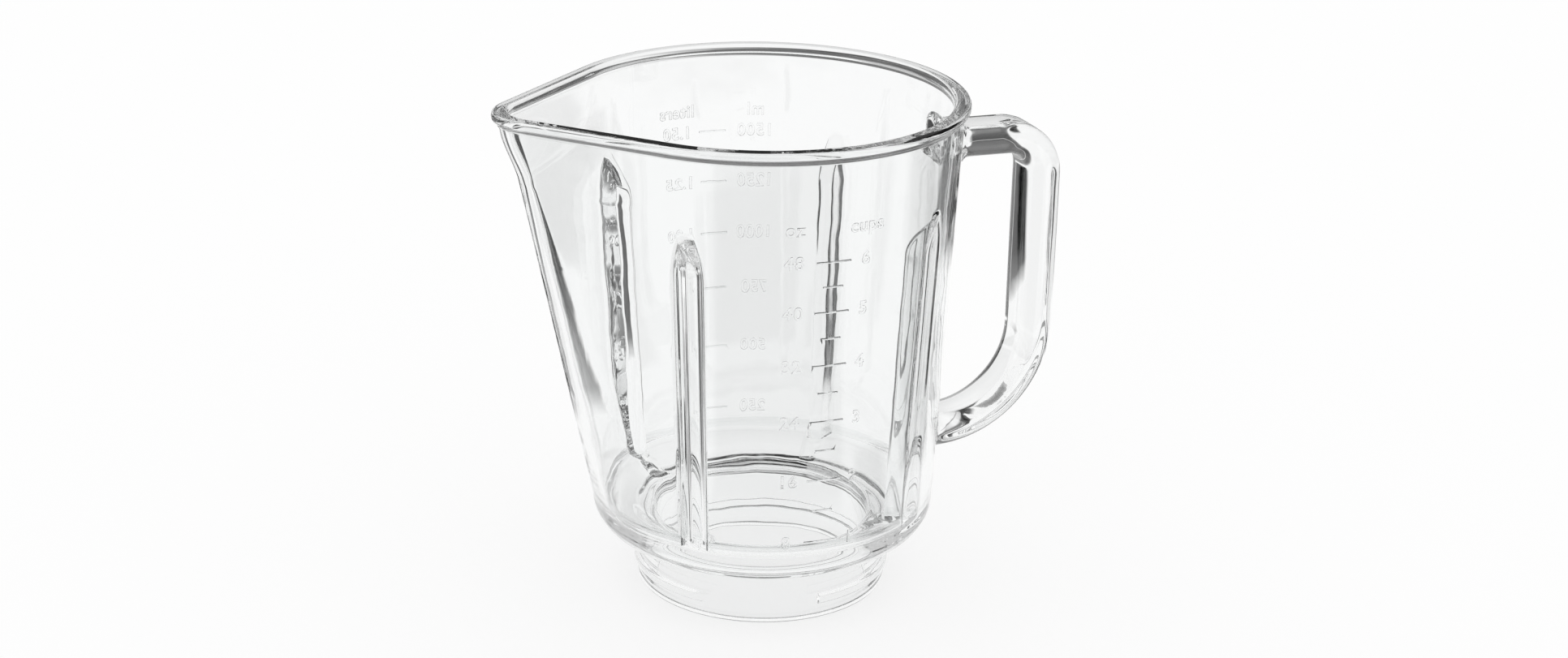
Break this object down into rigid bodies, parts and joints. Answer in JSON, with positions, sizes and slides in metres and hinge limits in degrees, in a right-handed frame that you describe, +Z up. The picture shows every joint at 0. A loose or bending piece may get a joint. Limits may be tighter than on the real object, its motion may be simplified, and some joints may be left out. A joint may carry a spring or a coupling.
{
  "type": "blender jar",
  "caption": "Pressed clear glass pitcher with a pouring spout, D-shaped handle, inner ribs and an open foot for a screw collar.",
  "frame": {"origin": "centre of the open foot, on the standing plane", "axes": "+Z up along the throat, +X towards the handle, -X towards the spout"},
  "size_m": [0.2061, 0.144, 0.1806],
  "materials": {
    "glass": "clear pressed glass, fire polished"
  },
  "bodies": {
    "root": {"foot_ring": "glass", "floor_ring": "glass", "jar_wall": "glass", "rim_bead": "glass", "handle": "glass", "rib_back_right": "glass", "rib_back_left": "glass", "rib_front_left": "glass", "rib_front_right": "glass"}
  },
  "joints": []
}
